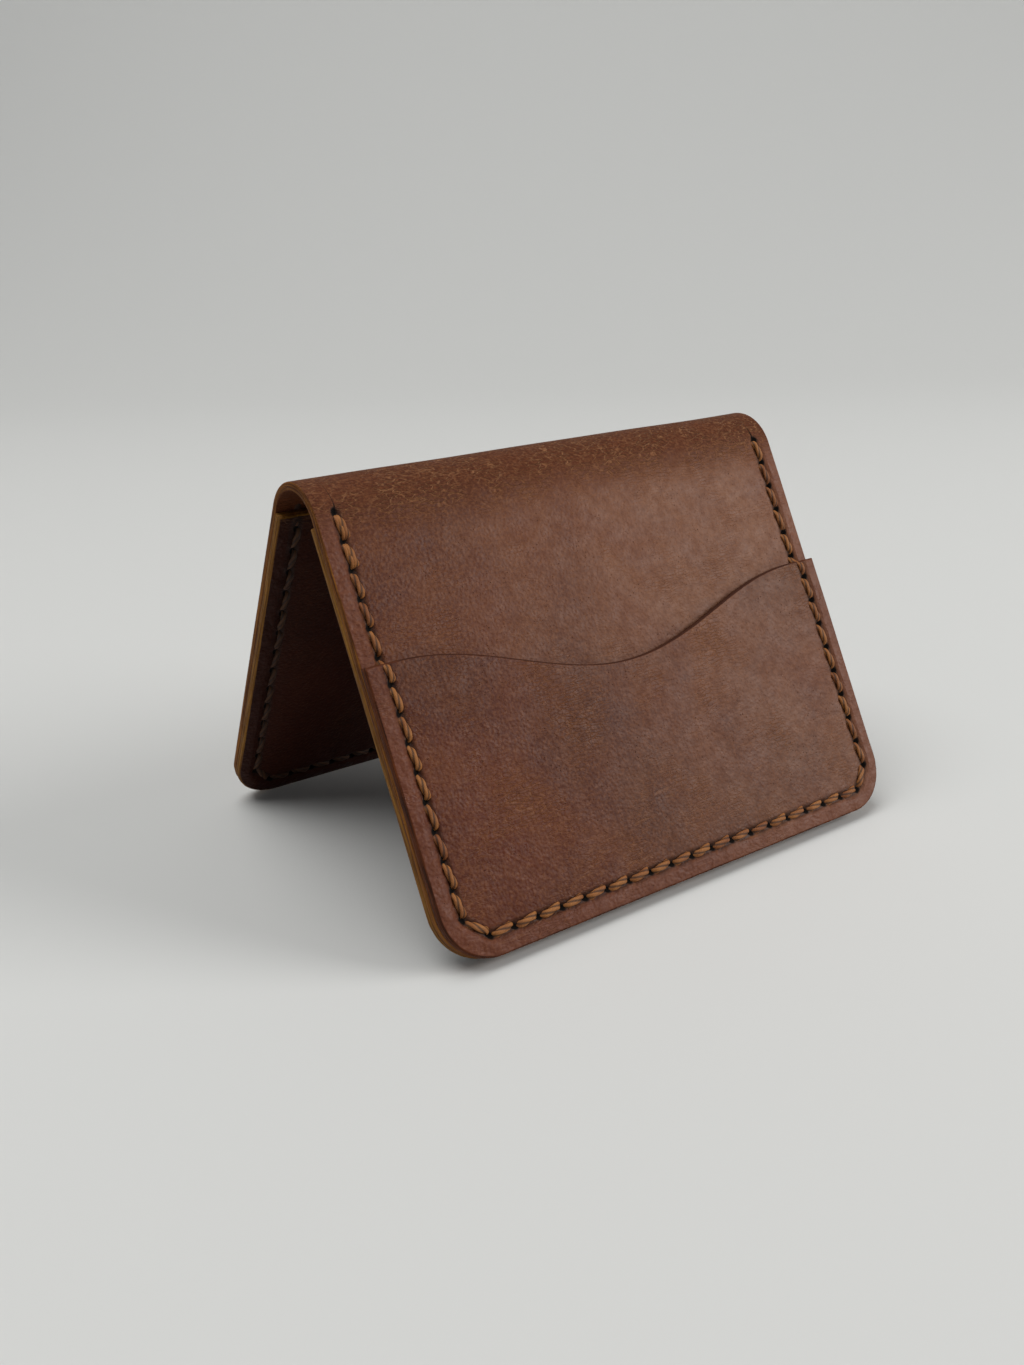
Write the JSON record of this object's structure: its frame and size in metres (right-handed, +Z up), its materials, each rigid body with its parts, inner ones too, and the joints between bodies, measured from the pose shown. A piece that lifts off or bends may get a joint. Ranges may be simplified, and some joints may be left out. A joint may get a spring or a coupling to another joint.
{
  "type": "card holder",
  "caption": "Folding leather card holder with a rounded spine, a scooped outer card pocket and saddle-stitched edges; it opens and closes at the spine.",
  "frame": {"origin": "middle of the footprint, on the surface that the two leaves stand on", "axes": "+X along the spine, +Z up, -Y towards the side that the pocketed front leaf faces"},
  "size_m": [0.105, 0.0898, 0.0749],
  "materials": {
    "cover_leather": "oiled pull-up leather, smooth grain out, satin, burnished ochre edges",
    "pocket_leather": "oiled pull-up leather, smooth grain out, satin, burnished ochre edges",
    "panel_leather": "oiled pull-up leather, smooth grain towards the inside, satin, burnished ochre edges",
    "thread": "twisted waxed thread, golden brown"
  },
  "bodies": {
    "front_leaf": {"shell_front": "cover_leather", "front_pocket": "pocket_leather", "front_inner_panel": "panel_leather", "front_stitching": "thread"},
    "back_leaf": {"shell_back": "cover_leather", "back_inner_panel": "panel_leather", "back_stitching": "thread"}
  },
  "joints": [
    {"name": "fold", "type": "hinge", "parent": "front_leaf", "child": "back_leaf", "pos_m": [0, 0.00075, 0.07489], "axis": [1, 0, 0], "range_deg": [-55, 124]}
  ]
}
